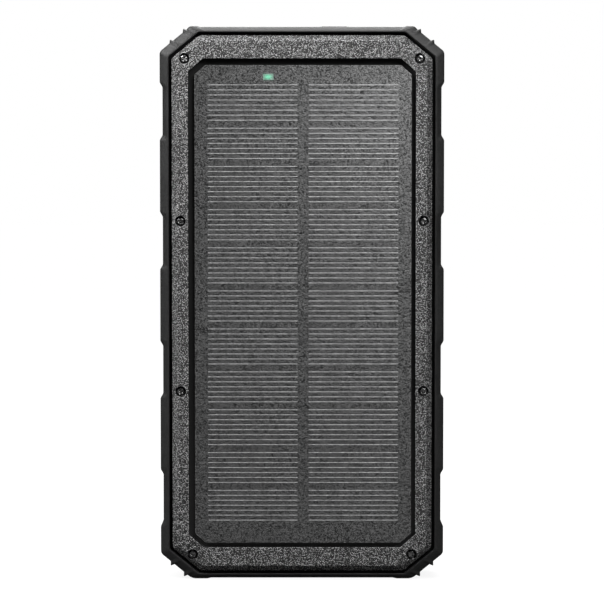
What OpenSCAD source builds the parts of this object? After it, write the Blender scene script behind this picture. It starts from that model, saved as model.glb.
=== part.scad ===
// Rugged solar phone charger, standing upright, as an assembly of separate pieces.
// The solar panel faces -Y, +X is to the right of the panel and +Z is up.
// The origin is at the bottom centre of the whole charger. All lengths are millimetres.

/* [Case] */
// Overall depth, front frame to back face
case_depth = 24; // [23.6:0.1:26]
// Half width of the widest part of the case, under the rubber
case_half_w = 38.8; // [38.6:0.1:39]
// Thickness of the rear housing's walls
wall = 1.8; // [1.4:0.1:2]
// Thickness of the front frame at its rim
frame_rim = 3.2; // [3:0.1:3.6]
// How far the front frame steps in from the widest part
frame_step = 1.35; // [1.2:0.05:1.5]
// How far the back plate steps in from the widest part
back_step = 1.15; // [1:0.05:1.3]
// Width of the sloping edge around the front frame and the back face
bevel_w = 1.6; // [1.2:0.1:2]
// Depth of the front frame's sloping edge
frame_bevel_d = 1.6; // [0.8:0.1:1.8]
// Depth of the back face's sloping edge
back_bevel_d = 1.2; // [0.8:0.1:1.4]

/* [Rubber sleeve] */
// Half width over the grip pads
sleeve_half_w = 41; // [40.6:0.1:42]
// Depth of the sleeve, front lip to rear lip
sleeve_depth = 21.2; // [20.6:0.1:22]
// Depth of a grip notch
notch_d = 0.8; // [0.4:0.1:1]
// Length of a notch's floor
notch_l = 13.3; // [11:0.1:15]
// Distance between neighbouring notches
notch_pitch = 37.3; // [36:0.1:38]

/* [Solar panel] */
// Width of the panel
panel_w = 62.4; // [60:0.1:62.6]
// Height of the panel
panel_h = 137.8; // [136:0.1:138]
// Distance from one printed silver line to the next
finger_pitch = 1.445; // [1.3:0.005:1.46]
// Height of one printed silver line
finger_w = 0.2; // [0.15:0.05:0.3]

/* [Screws] */
// Radius of a case screw's head
head_r = 1.25; // [1:0.05:1.4]
// Radius of a screw's shank
shank_r = 0.8; // [0.7:0.05:0.85]
// Radius of the counterbore round a screw's head
counterbore_r = 1.6; // [1.5:0.05:1.7]

/* [Moving pieces] */
// Travel of the power button and of the switch plunger behind it
press = 0.4; // [0.2:0.05:0.4]
// Length of the rubber port cover along the top edge
cover_l = 43; // [42:0.5:44]

/* [Hidden] */

// A small gap between pieces that only lie against each other
gap = 0.05;
// A small overlap between shapes that become one solid
weld = 0.01;
front_y = -case_depth / 2;
back_y = case_depth / 2;
rim_y = front_y + frame_rim;
shoulder_back_y = back_y - frame_rim;
floor_y = back_y - wall;

// The case's outline under the rubber
case_low = 1.3;
case_high = 158.55;
case_cut = [8.94, 7.29];
case_top_inside = case_high - wall;
counterbore_d = 1.6;

// A shallow groove pressed into the back face, inside its edge by a distance
groove_inset = 10;
groove_w = 0.8;
groove_d = 0.4;

// The seal between frame and housing, inside the frame's edge by a distance
seal_inset = 0.05;
seal_w = 0.5;
seal_t = 0.6;

// The rubber sleeve's outline
sleeve_low = 0.25;
sleeve_high = 159.75;
sleeve_cut = [8.7, 7.1];
top_z = 160;
notch_slope = 1.9;
notch_centre_z = 79.6;
lip_y = sleeve_depth / 2;
// How far the sleeve's lips reach over the case's widest part
lip_reach = 0.45;
// Corner guards: where their flat rises sit along the top and bottom edges, and half their length
guard_top_x = 31.2;
guard_top_half = 0.7;
guard_bottom_x = 29.3;
guard_bottom_half = 1.6;
guard_ramp = 1.4;
// Grip ribs on each cut corner, as shares of the way along it
rib_shares = [0.4, 0.84];
rib_h = 0.62;
notch_count = 4;

// The window in the front frame
window_half_w = 32.75;
window_low = 9.55;
window_high = 150.55;
window_cut = [4.3, 3.8];
pocket_floor_y = front_y + 2.2;

// The solar panel, a little to the right of the window's middle
panel_x = 0.3;
panel_low = 10.85;
panel_high = panel_low + panel_h;
panel_cut = [3.1, 2.7];
adhesive_t = 0.2;
board_t = 1;
cell_t = 0.2;
finger_t = 0.05;
film_t = 0.25;
panel_board_front_y = pocket_floor_y - adhesive_t - board_t;
cell_front_y = panel_board_front_y - cell_t;
finger_front_y = cell_front_y - finger_t;
film_front_y = finger_front_y - film_t;

// Eleven strips of cells; each has eight or seven printed lines in two halves
strip_count = 11;
first_line_z = 143;
strip_gap = 2.3;
strip_edge = 0.9;
line_inner_x = 1.6;
line_outer_x = 27.4;
function line_count(i) = i % 2 == 0 && i < strip_count - 1 ? 8 : 7;
function strip_top(i) =
    i == 0 ? first_line_z : strip_top(i - 1) - (line_count(i - 1) - 1) * finger_pitch - strip_gap;

// The charge light in the panel
led_pos = [-9.7, 145.3];
led_size = [3, 1.8];

// Screw places as [x, z]
case_screw_places = [
    for (side = [-1, 1]) each [
        [side * 33.8, 150.5], [side * 35, 103.9], [side * 35, 54.8], [side * 31.65, 7.5]
    ]
];
board_screw_places = [[-27, 133.5], [24, 133.5], [-22, 148.5]];
case_screw_l = 9;
board_screw_l = 4;
board_head_r = 1.4;
head_t = 0.8;
screw_play = 0.15;
boss_r = 2.2;
post_r = 2.2;

// The main board
main_half_w = 31;
main_low = 130.5;
main_high = 155.6;
main_cut = 4;
main_front_y = 3;
main_t = 1.6;
main_back_y = main_front_y + main_t;

// Height at which the panel's two leads reach the main board
lead_z = 141.3;

// The sockets on the top edge: [centre x] of the two wide ones, and the narrow one
usb_a_xs = [-5.8, 9.3];
usb_a_size = [13.1, 5.7, 14];
usb_a_y = main_front_y - usb_a_size.y / 2;
usb_a_wall = 0.3;
usb_c_x = 22.6;
usb_c_size = [8.94, 3.2, 7.3];
usb_c_y = main_front_y - usb_c_size.y / 2;
usb_c_wall = 0.25;
socket_mouth_z = 157.2;
socket_fit = 0.2;

// The port cover, a flap that swings about its rear edge
cover_x = 7.5;
cover_front_y = -7.5;
cover_rear_y = 7;
cover_gap = 0.2;
cover_low = case_high + gap;
plug_low = socket_mouth_z + 0.15;
tab_x = 9.3;
tab_w = 9.2;
tab_d = 3;
hinge_gap = 0.4;

// The power button in the top notch on the right
button_z = notch_centre_z + 1.5 * notch_pitch;
button_y = 1.2;
button_cap = [8, 4.6];
button_stem = [5, 2.4];
button_flange = [7.5, 4.5];
button_flange_t = 1;
button_cap_in_x = case_half_w + press + gap;
button_cap_out_x = sleeve_half_w - notch_d - 0.1;
button_flange_x = case_half_w - wall - gap;
plunger_tip_x = 32.2;
plunger_size = [2, 1.6, 3];
switch_size = [3.5, 3.6, 6];

// The battery level window and its lights
lens_x = -23;
lens_y = 2.2;
lens_size = [12, 2];
lens_flange = [12, 4];
lens_flange_t = 0.85;
level_z = 154.6;
level_count = 4;
level_pitch = 3.2;
level_size = [1.6, 1.6, 1.6];

// The two pouch cells, one behind the other
cell_w = 63;
cell_low = 11;
cell_h = 110;
cell_depth = 8.5;
terrace_h = 6;
terrace_t = 1;
protection_size = [44, 0.9, 4];
lead_r = 0.6;
battery_lead_xs = [-10, 7];
panel_lead_xs = [-1.6, 1.8];
panel_lead_r = 0.4;
// Two ribs on the housing's floor that keep the rear cell from sliding up
cell_stop_z = 128.2;
cell_stop_xs = [-24, 12];
cell_stop_y = 5;
cell_stop_l = 10;
cell_stop_t = 1.2;
foam_t = 1;
tape_t = 0.3;
foam_front_y = rim_y + gap;
front_cell_y = foam_front_y + foam_t + gap;
tape_y = front_cell_y + cell_depth + gap;
rear_cell_y = tape_y + tape_t + gap;
rear_tape_y = rear_cell_y + cell_depth + gap;

// ---- Shared shapes ----

// Extrudes a flat X-Z shape along Y between two depths
module slab(from_y, to_y) {
    translate([0, to_y, 0]) rotate([90, 0, 0]) linear_extrude(to_y - from_y) children();
}

// A round bar along Y at a place [x, z]
module bar(place, radius, from_y, to_y) {
    translate([place.x, to_y, place.y])
        rotate([90, 0, 0])
            cylinder(h = to_y - from_y, r = radius, $fn = 48);
}

// Rounds the outer corners of a flat shape
module soften(radius) {
    offset(r = radius, $fn = 24) offset(delta = -radius) children();
}

// A rectangle with all four corners cut off
module cut_corners(half_w, low, high, cut) {
    polygon([
        [-half_w, low + cut.y], [-half_w + cut.x, low], [half_w - cut.x, low], [half_w, low + cut.y],
        [half_w, high - cut.y], [half_w - cut.x, high], [-half_w + cut.x, high], [-half_w, high - cut.y]
    ]);
}

// The case's outline, grown by a distance (negative shrinks it)
module case_outline(grow) {
    soften(1.5) offset(delta = grow) cut_corners(case_half_w, case_low, case_high, case_cut);
}

module window_outline() {
    soften(0.4) cut_corners(window_half_w, window_low, window_high, window_cut);
}

module panel_outline(grow = 0) {
    translate([panel_x, 0])
        offset(delta = grow)
            soften(0.3)
                cut_corners(panel_w / 2, panel_low, panel_high, panel_cut);
}

// A plate with the stepped-in outline, from one depth to the edge of its slope and on to its face
module bevelled_plate(from_y, edge_y, face_y, step) {
    inner_y = face_y + weld * sign(from_y - face_y);
    hull() {
        slab(min(from_y, edge_y), max(from_y, edge_y)) case_outline(-step);
        slab(min(face_y, inner_y), max(face_y, inner_y)) case_outline(-step - bevel_w);
    }
}

// A flat slot shape with round ends, longer along its first size
module stadium(size) {
    reach = (size.x - size.y) / 2;
    hull() for (side = [-1, 1]) translate([side * reach, 0]) circle(d = size.y, $fn = 32);
}

// A cross recess cut into a screw head whose top is at a depth
module cross_recess(place, top_y, span) {
    for (turn = [0, 90])
        translate([place.x, top_y, place.y])
            rotate([0, turn, 0])
                cube([span, 0.9, span * 0.24], center = true);
}

// A pan-head screw along Y: head top at head_y, head depth, shank length behind the head
module screw(place, head_y, radius, head_depth, shank_l) {
    difference() {
        union() {
            bar(place, radius, head_y, head_y + head_depth);
            bar(place, shank_r, head_y + head_depth - 0.1, head_y + head_depth + shank_l);
        }
        cross_recess(place, head_y, radius * 1.3);
    }
}

// A wire of one thickness through a list of points, with round elbows
module wire(points, radius) {
    for (i = [0 : len(points) - 2]) {
        run = points[i + 1] - points[i];
        translate(points[i])
            rotate([0, acos(run.z / norm(run)), atan2(run.y, run.x)])
                cylinder(h = norm(run), r = radius, $fn = 48);
    }
    for (point = points) translate(point) sphere(r = radius * 1.02, $fn = 48);
}

// ---- Case ----

module front_frame() {
    color("dimgray") difference() {
        bevelled_plate(rim_y, front_y + frame_bevel_d, front_y, frame_step);
        slab(front_y - 1, pocket_floor_y) window_outline();
        for (place = case_screw_places) {
            bar(place, counterbore_r, front_y - 1, front_y + counterbore_d);
            bar(place, shank_r + screw_play, front_y, rim_y + 1);
        }
        lead_slot(pocket_floor_y - 1, rim_y + 1, 3);
    }
}

module boss_bores() {
    for (place = case_screw_places) bar(place, shank_r + gap, rim_y - 1, rim_y + case_screw_l);
    for (place = board_screw_places) bar(place, shank_r + gap, main_back_y - 1, floor_y - 0.6);
}

// Everything that is cut through the housing's top and right walls
module housing_openings() {
    for (x = usb_a_xs)
        translate([x, usb_a_y, case_top_inside - 1])
            linear_extrude(4)
                square([usb_a_size.x + 2 * socket_fit, usb_a_size.y + 2 * socket_fit], center = true);
    translate([usb_c_x, usb_c_y, case_top_inside - 1])
        linear_extrude(4)
            stadium([usb_c_size.x + 2 * socket_fit, usb_c_size.y + 2 * socket_fit]);
    translate([lens_x, lens_y, case_top_inside - 1])
        linear_extrude(4)
            stadium(lens_size + [0.2, 0.2]);
    translate([case_half_w - wall - 1, button_y, button_z])
        rotate([0, 90, 0])
            linear_extrude(4)
                stadium(button_stem + [0.3, 0.3]);
}

module rear_housing() {
    color("dimgray") difference() {
        union() {
            difference() {
                union() {
                    slab(rim_y, shoulder_back_y) case_outline(0);
                    bevelled_plate(shoulder_back_y - 0.5, back_y - back_bevel_d, back_y, back_step);
                }
                slab(rim_y - 1, floor_y) case_outline(-wall);
            }
            intersection() {
                for (place = case_screw_places) bar(place, boss_r, rim_y, floor_y + 0.5);
                slab(rim_y, back_y - 0.5) case_outline(-wall / 2);
            }
            for (place = board_screw_places) bar(place, post_r, main_back_y, floor_y + 0.5);
            for (x = cell_stop_xs)
                translate([x, cell_stop_y, cell_stop_z])
                    cube([cell_stop_l, floor_y + 0.5 - cell_stop_y, cell_stop_t]);
        }
        slab(rim_y - 1, rim_y + seal_t) gasket_ring(gap);
        slab(back_y - groove_d, back_y + 1) difference() {
            case_outline(-groove_inset);
            case_outline(-groove_inset - groove_w);
        }
        boss_bores();
        housing_openings();
    }
}

// The seal's ring, widened all round by a margin
module gasket_ring(margin) {
    difference() {
        case_outline(-frame_step - seal_inset + margin);
        case_outline(-frame_step - seal_inset - seal_w - margin);
    }
}

module frame_gasket() {
    color("firebrick") slab(rim_y + gap / 2, rim_y + seal_t - gap / 2) gasket_ring(0);
}

// ---- Rubber sleeve and port cover ----

// One rounded rise at the end of a corner guard, on the top (up = 1) or bottom edge
module guard_rise(centre_x, base_z, rise, half_l) {
    polygon([
        [centre_x - half_l - guard_ramp, base_z], [centre_x - half_l, base_z + rise],
        [centre_x + half_l, base_z + rise], [centre_x + half_l + guard_ramp, base_z]
    ]);
}

// A small pointed grip rib on the cut corner, at a share of the way along it
module corner_rib(share) {
    start = [sleeve_half_w, sleeve_high - sleeve_cut.y];
    end = [sleeve_half_w - sleeve_cut.x, sleeve_high];
    along = (end - start) / norm(end - start);
    out = [along.y, -along.x];
    foot = start + (end - start) * share;
    polygon([foot - 0.9 * along - out, foot - 0.25 * along + rib_h * out,
             foot + 0.25 * along + rib_h * out, foot + 0.6 * along - out]);
}

module notch(z) {
    translate([sleeve_half_w, z]) polygon([
        [0.5, -notch_l / 2 - notch_slope * 1.6], [0.5, notch_l / 2 + notch_slope * 1.6],
        [0, notch_l / 2 + notch_slope], [-notch_d, notch_l / 2],
        [-notch_d, -notch_l / 2], [0, -notch_l / 2 - notch_slope]
    ]);
}

// The sleeve's outer outline with its notches, guards and ribs
module sleeve_outline() {
    difference() {
        union() {
            soften(1.6) cut_corners(sleeve_half_w, sleeve_low, sleeve_high, sleeve_cut);
            for (side = [0, 1]) mirror([side, 0]) {
                guard_rise(guard_top_x, sleeve_high - weld, top_z - sleeve_high + weld, guard_top_half);
                guard_rise(guard_bottom_x, sleeve_low + weld, -sleeve_low - weld, guard_bottom_half);
                for (share = rib_shares) {
                    corner_rib(share);
                    translate([0, sleeve_low + sleeve_high]) mirror([0, 1]) corner_rib(share);
                }
            }
        }
        for (side = [0, 1], i = [0 : notch_count - 1])
            mirror([side, 0])
                notch(notch_centre_z + (i - (notch_count - 1) / 2) * notch_pitch);
    }
}

module bumper() {
    round_steps = 4;
    round_r = 1;
    color("#262626") difference() {
        union() {
            slab(-lip_y + round_r, lip_y - round_r) sleeve_outline();
            for (i = [1 : round_steps]) {
                reach = round_r * sin(i * 90 / round_steps);
                inset = round_r * (1 - cos((i - 0.5) * 90 / round_steps));
                slab(-lip_y + round_r - reach, lip_y - round_r + reach)
                    offset(delta = -inset)
                        sleeve_outline();
            }
        }
        slab(rim_y - gap, shoulder_back_y + gap) case_outline(gap);
        slab(-lip_y - 1, lip_y + 1) case_outline(-lip_reach);
        translate([cover_x, 0, case_high - 1])
            linear_extrude(4)
                translate([-cover_l / 2 - cover_gap, cover_front_y - cover_gap])
                    square([cover_l + 2 * cover_gap, cover_rear_y + hinge_gap - cover_front_y + cover_gap]);
        translate([lens_x, lens_y, case_high - 1]) linear_extrude(4) stadium(lens_size + [0.2, 0.2]);
        translate([case_half_w - 1, button_y, button_z])
            rotate([0, 90, 0])
                linear_extrude(4)
                    stadium(button_cap + [0.4, 0.4]);
    }
}

module port_cover() {
    color("#303030") {
        translate([cover_x, (cover_front_y + cover_rear_y) / 2, cover_low])
            linear_extrude(sleeve_high - cover_low)
                soften(0.8)
                    square([cover_l, cover_rear_y - cover_front_y], center = true);
        translate([tab_x, cover_front_y + tab_d / 2, cover_low])
            linear_extrude(top_z - cover_low)
                soften(0.7)
                    square([tab_w, tab_d], center = true);
        for (x = usb_a_xs)
            translate([x, usb_a_y + 0.05, plug_low])
                linear_extrude(cover_low - plug_low + 0.1)
                    square([usb_a_size.x - 0.3, usb_a_size.y - 0.4], center = true);
        translate([usb_c_x, usb_c_y + 0.05, plug_low])
            linear_extrude(cover_low - plug_low + 0.1)
                stadium([usb_c_size.x - 0.3, usb_c_size.y - 0.4]);
    }
}

module case_screws() {
    color("#1a1a1a")
        for (place = case_screw_places)
            screw(place, front_y + counterbore_d - head_t, head_r, head_t, case_screw_l);
}

// ---- Solar panel ----

module led_window(from_y, to_y, margin) {
    slab(from_y, to_y)
        translate(led_pos)
            square(led_size + [2 * margin, 2 * margin], center = true);
}

// The opening that both panel leads pass through
module lead_slot(from_y, to_y, height) {
    translate([0, 0, lead_z]) slab(from_y, to_y) square([height + 5, height], center = true);
}

module panel_board() {
    color("#202224") difference() {
        slab(panel_board_front_y, pocket_floor_y - adhesive_t) panel_outline(-0.1);
        led_window(panel_board_front_y - 1, pocket_floor_y, gap);
        lead_slot(front_y, pocket_floor_y, 2);
    }
}

module panel_adhesive() {
    color("black") difference() {
        slab(pocket_floor_y - adhesive_t, pocket_floor_y) panel_outline(-1.5);
        led_window(front_y, pocket_floor_y + 1, gap);
        lead_slot(front_y, pocket_floor_y + 1, 3);
    }
}

// One strip of cells, its top line at a height, holding a number of lines
module cell_strip(top, lines) {
    strip_h = (lines - 1) * finger_pitch + 2 * strip_edge;
    translate([panel_x - line_outer_x - 0.5, cell_front_y, top + strip_edge - strip_h])
        cube([2 * line_outer_x + 1, cell_t, strip_h]);
}

module solar_cells() {
    color("#26282c") for (i = [0 : strip_count - 1]) cell_strip(strip_top(i), line_count(i));
}

module cell_fingers() {
    color("silver")
        for (i = [0 : strip_count - 1], k = [0 : line_count(i) - 1], side = [0, 1])
            translate([
                panel_x + (side == 0 ? -line_outer_x : line_inner_x),
                finger_front_y,
                strip_top(i) - k * finger_pitch - finger_w / 2
            ])
                cube([line_outer_x - line_inner_x, finger_t, finger_w]);
}

module panel_film() {
    color("#50545880") slab(film_front_y, finger_front_y) panel_outline();
}

module charge_led() {
    color("mediumseagreen") led_window(panel_board_front_y, pocket_floor_y - adhesive_t, 0);
}

// ---- Main board and its parts ----

module main_board() {
    color("darkgreen") difference() {
        slab(main_front_y, main_back_y) polygon([
            [-main_half_w, main_low], [main_half_w, main_low],
            [main_half_w, main_high - main_cut], [main_half_w - main_cut, main_high],
            [-main_half_w + main_cut, main_high], [-main_half_w, main_high - main_cut]
        ]);
        for (place = board_screw_places)
            bar(place, shank_r + screw_play, main_front_y - 1, main_back_y + 1);
    }
}

module board_screws() {
    color("silver")
        for (place = board_screw_places)
            screw(place, main_front_y - head_t, board_head_r, head_t, main_t + board_screw_l);
}

// A rectangular metal socket shell, open at the top
module usb_a_shell(x) {
    translate([x - usb_a_size.x / 2, usb_a_y - usb_a_size.y / 2, socket_mouth_z - usb_a_size.z])
        difference() {
            cube(usb_a_size);
            translate([usb_a_wall, usb_a_wall, 0.8])
                cube([usb_a_size.x - 2 * usb_a_wall, usb_a_size.y - 2 * usb_a_wall, usb_a_size.z]);
        }
}

module usb_a_shells() {
    color("silver") for (x = usb_a_xs) usb_a_shell(x);
}

module usb_a_tongues() {
    base_z = socket_mouth_z - usb_a_size.z + 0.8 + gap;
    color("white") for (x = usb_a_xs) {
        translate([x - 6.15, usb_a_y - 2.5, base_z]) cube([12.3, 5, 3]);
        translate([x - 5.55, usb_a_y + 0.4, base_z]) cube([11.1, 1.9, 11.5]);
    }
}

module usb_c_shell() {
    color("silver")
        translate([usb_c_x, usb_c_y, socket_mouth_z - usb_c_size.z])
            difference() {
                linear_extrude(usb_c_size.z) stadium([usb_c_size.x, usb_c_size.y]);
                translate([0, 0, 0.8])
                    linear_extrude(usb_c_size.z)
                        stadium([usb_c_size.x - 2 * usb_c_wall, usb_c_size.y - 2 * usb_c_wall]);
            }
}

module usb_c_tongue() {
    base_z = socket_mouth_z - usb_c_size.z + 0.8 + gap;
    color("black") {
        translate([usb_c_x, usb_c_y, base_z]) linear_extrude(1.2) stadium([8.2, 2.4]);
        translate([usb_c_x - 3.35, usb_c_y - 0.35, base_z]) cube([6.7, 0.7, 5.4]);
    }
}

// A block standing on the board's front at a place [x, z]
module on_board(place, size) {
    translate([place.x - size.x / 2, main_front_y - size.y, place.y - size.z / 2]) cube(size);
}

module control_chips() {
    color("#151515") {
        on_board([-14, 137], [5, 0.9, 5]);
        on_board([2, 137], [6.2, 1.5, 5]);
        on_board([-18, 143.5], [3, 1, 1.7]);
    }
}

module power_inductors() {
    color("#3a3a3a") for (x = [-6, 11]) on_board([x, 137], [6.8, 3, 6.8]);
}

module capacitors() {
    color("tan") {
        for (i = [0 : 4]) on_board([-21, 133 + i * 2.2], [2, 1.2, 1.2]);
        for (i = [0 : 2]) on_board([17, 133.5 + i * 2.6], [3.2, 1.8, 1.6]);
    }
}

module level_leds() {
    color("white")
        for (i = [0 : level_count - 1])
            on_board([lens_x + (i - (level_count - 1) / 2) * level_pitch, level_z], level_size);
}

module level_lens() {
    color("gainsboro") translate([lens_x, lens_y, 0]) {
        translate([0, 0, case_top_inside - 0.5])
            linear_extrude(sleeve_high - 0.1 - case_top_inside + 0.5)
                stadium(lens_size);
        translate([0, -1, case_top_inside - gap - lens_flange_t])
            linear_extrude(lens_flange_t)
                square(lens_flange, center = true);
    }
}

module switch_body() {
    color("#202020") difference() {
        translate([main_half_w - switch_size.x, main_front_y - switch_size.y, button_z - switch_size.z / 2])
            cube(switch_size);
        translate([
            plunger_tip_x - plunger_size.x - press - gap,
            button_y - plunger_size.y / 2 - gap,
            button_z - plunger_size.z / 2 - gap
        ])
            cube([plunger_size.x + 1, plunger_size.y + 2 * gap, plunger_size.z + 2 * gap]);
    }
}

module switch_plunger() {
    color("white")
        translate([
            plunger_tip_x - plunger_size.x,
            button_y - plunger_size.y / 2,
            button_z - plunger_size.z / 2
        ])
            cube(plunger_size);
}

module power_button() {
    color("#3c3c3c") translate([0, button_y, button_z]) rotate([0, 90, 0]) {
        translate([0, 0, button_cap_in_x])
            linear_extrude(button_cap_out_x - button_cap_in_x)
                stadium(button_cap);
        translate([0, 0, plunger_tip_x + gap])
            linear_extrude(button_cap_in_x - plunger_tip_x - gap + 0.1)
                stadium(button_stem);
        translate([0, 0, button_flange_x - button_flange_t])
            linear_extrude(button_flange_t)
                stadium(button_flange);
    }
}

// ---- Battery ----

// A pouch cell whose front face is at a depth, with its thin sealed end at the top
module pouch_cell(from_y) {
    slab(from_y, from_y + cell_depth)
        translate([-cell_w / 2, cell_low])
            soften(2.5)
                square([cell_w, cell_h]);
    slab(from_y + cell_depth / 2 - terrace_t / 2, from_y + cell_depth / 2 + terrace_t / 2)
        translate([-cell_w / 2 + 2, cell_low + cell_h - 1])
            square([cell_w - 4, terrace_h + 1]);
}

module battery_cell_front() {
    color("lightsteelblue") pouch_cell(front_cell_y);
}

module battery_cell_rear() {
    color("lightsteelblue") pouch_cell(rear_cell_y);
}

module protection_boards() {
    color("darkgreen")
        for (from_y = [front_cell_y, rear_cell_y])
            translate([
                -protection_size.x / 2,
                from_y + cell_depth / 2 + terrace_t / 2 + gap,
                cell_low + cell_h + 1
            ])
                cube(protection_size);
}

module pad(from_y, thickness, inset) {
    slab(from_y, from_y + thickness)
        translate([-cell_w / 2 + inset, cell_low + inset])
            square([cell_w - 2 * inset, cell_h - 2 * inset]);
}

module front_foam() {
    color("darkslategray") pad(foam_front_y, foam_t, 4);
}

module cell_tape() {
    color("ivory") pad(tape_y, tape_t, 8);
}

module rear_tape() {
    color("ivory") pad(rear_tape_y, tape_t, 8);
}

// ---- Wires ----

// Each cell's lead rises from its protection board to the main board's lower edge
module battery_leads(x) {
    weld_z = cell_low + cell_h + 5.7;
    for (from_y = [front_cell_y, rear_cell_y]) {
        shift = from_y == front_cell_y ? -1 : 1;
        start_y = from_y + (cell_depth + terrace_t) / 2 + 0.7;
        wire([
            [x + shift, start_y, weld_z], [x + shift, start_y, 128],
            [x + shift, main_front_y - 0.8, 130], [x + shift, main_front_y - 0.8, 132.5]
        ], lead_r);
    }
}

module battery_leads_red() {
    color("red") battery_leads(battery_lead_xs[0]);
}

module battery_leads_black() {
    color("#101010") battery_leads(battery_lead_xs[1]);
}

// A panel lead runs straight from the back of the panel through the frame to the main board
module panel_lead(x) {
    bar([x, lead_z], panel_lead_r, pocket_floor_y - 0.6, main_front_y - gap);
}

module panel_leads_red() {
    color("red") panel_lead(panel_lead_xs[0]);
}

module panel_leads_black() {
    color("#101010") panel_lead(panel_lead_xs[1]);
}

front_frame();
rear_housing();
frame_gasket();
bumper();
port_cover();
case_screws();
panel_board();
panel_adhesive();
solar_cells();
cell_fingers();
panel_film();
charge_led();
main_board();
board_screws();
usb_a_shells();
usb_a_tongues();
usb_c_shell();
usb_c_tongue();
control_chips();
power_inductors();
capacitors();
level_leds();
level_lens();
switch_body();
switch_plunger();
power_button();
battery_cell_front();
battery_cell_rear();
protection_boards();
front_foam();
cell_tape();
rear_tape();
battery_leads_red();
battery_leads_black();
panel_leads_red();
panel_leads_black();
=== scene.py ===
"""The looks of a rugged solar phone charger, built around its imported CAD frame.

The panel faces -Y, +X is to the panel's right and +Z is up. Lengths are in millimetres unless a name
or comment says otherwise, and MM turns them into Blender's metres.
"""
import math

import bmesh
import bpy
import numpy as np
from mathutils import Matrix, Vector


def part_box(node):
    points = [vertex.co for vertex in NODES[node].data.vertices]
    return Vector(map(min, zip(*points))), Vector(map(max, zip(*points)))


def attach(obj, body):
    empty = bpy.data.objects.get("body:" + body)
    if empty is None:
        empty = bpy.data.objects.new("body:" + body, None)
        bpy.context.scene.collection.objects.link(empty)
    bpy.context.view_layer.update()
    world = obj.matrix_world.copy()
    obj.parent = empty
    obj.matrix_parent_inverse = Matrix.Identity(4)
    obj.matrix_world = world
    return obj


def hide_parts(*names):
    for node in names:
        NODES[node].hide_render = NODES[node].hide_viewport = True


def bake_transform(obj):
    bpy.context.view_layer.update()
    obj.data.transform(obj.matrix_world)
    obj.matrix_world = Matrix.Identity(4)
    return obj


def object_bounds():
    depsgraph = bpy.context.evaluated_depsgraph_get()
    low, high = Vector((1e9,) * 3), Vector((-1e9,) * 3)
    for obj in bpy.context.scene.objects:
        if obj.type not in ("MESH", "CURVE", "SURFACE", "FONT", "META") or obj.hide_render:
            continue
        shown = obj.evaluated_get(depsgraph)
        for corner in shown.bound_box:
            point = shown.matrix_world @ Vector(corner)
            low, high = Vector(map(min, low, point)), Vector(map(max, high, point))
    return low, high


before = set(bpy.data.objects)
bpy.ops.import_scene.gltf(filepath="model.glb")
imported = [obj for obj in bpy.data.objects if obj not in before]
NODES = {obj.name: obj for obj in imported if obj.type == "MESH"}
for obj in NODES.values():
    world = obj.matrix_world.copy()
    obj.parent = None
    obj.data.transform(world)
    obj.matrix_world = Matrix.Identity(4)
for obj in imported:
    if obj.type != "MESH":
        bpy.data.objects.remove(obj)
cad_low, cad_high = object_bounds()
MM = 0.001


def box_mm(node):
    """Lowest and highest corner of a CAD node, in millimetres."""
    low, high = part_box(node)
    return np.array(low) / MM, np.array(high) / MM


def solid_boxes(node):
    """Lowest and highest corner of each separate solid in a CAD node, from left to right."""
    mesh = NODES[node].data
    keys = [tuple(round(c / MM, 3) for c in v.co) for v in mesh.vertices]
    leader = {key: key for key in keys}

    def find(key):
        while leader[key] != key:
            leader[key] = leader[leader[key]]
            key = leader[key]
        return key

    for face in mesh.polygons:
        first = find(keys[face.vertices[0]])
        for v in face.vertices[1:]:
            leader[find(keys[v])] = first
    groups = {}
    for key in leader:
        groups.setdefault(find(key), []).append(key)
    boxes = [(np.min(points, axis=0), np.max(points, axis=0)) for points in groups.values()]
    return sorted(boxes, key=lambda pair: tuple(pair[0]))


# ---------------------------------------------------------------- flat outlines


def cut_corner_points(low, high, cut):
    """A rectangle with its four corners cut off, anticlockwise."""
    (x0, z0), (x1, z1), (cx, cz) = low, high, cut
    return [
        (x0 + cx, z0), (x1 - cx, z0), (x1, z0 + cz), (x1, z1 - cz),
        (x1 - cx, z1), (x0 + cx, z1), (x0, z1 - cz), (x0, z0 + cz),
    ]


def rounded(points, radius, steps=8):
    """The closed outline through points with every corner turned into an arc."""
    corners = [np.array(p, float) for p in points]
    path = []
    for i, corner in enumerate(corners):
        before = corners[i - 1] - corner
        after = corners[(i + 1) % len(corners)] - corner
        before /= np.linalg.norm(before)
        after /= np.linalg.norm(after)
        half = math.acos(np.clip(before @ after, -1, 1)) / 2
        reach = radius / math.tan(half)
        centre = corner + (before + after) / np.linalg.norm(before + after) * radius / math.sin(half)
        start = corner + before * reach - centre
        turn = math.pi - 2 * half
        for k in range(steps + 1):
            angle = turn * k / steps
            c, s = math.cos(angle), math.sin(angle)
            path.append(centre + np.array([start[0] * c - start[1] * s, start[0] * s + start[1] * c]))
    return np.array(path)


def rounded_rectangle(centre, size, radius, steps=6):
    """A rounded rectangle as an array of flat points, anticlockwise."""
    x, y = centre
    w, h = size[0] / 2, size[1] / 2
    return rounded([(x - w, y - h), (x + w, y - h), (x + w, y + h), (x - w, y + h)], radius, steps)


def stadium(centre, size):
    """A slot with round ends, along the longer of its two sizes."""
    sliver = 0.005  # keeps the two arcs of each end apart
    return rounded_rectangle(centre, size, min(size) / 2 - sliver, 10)


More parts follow.
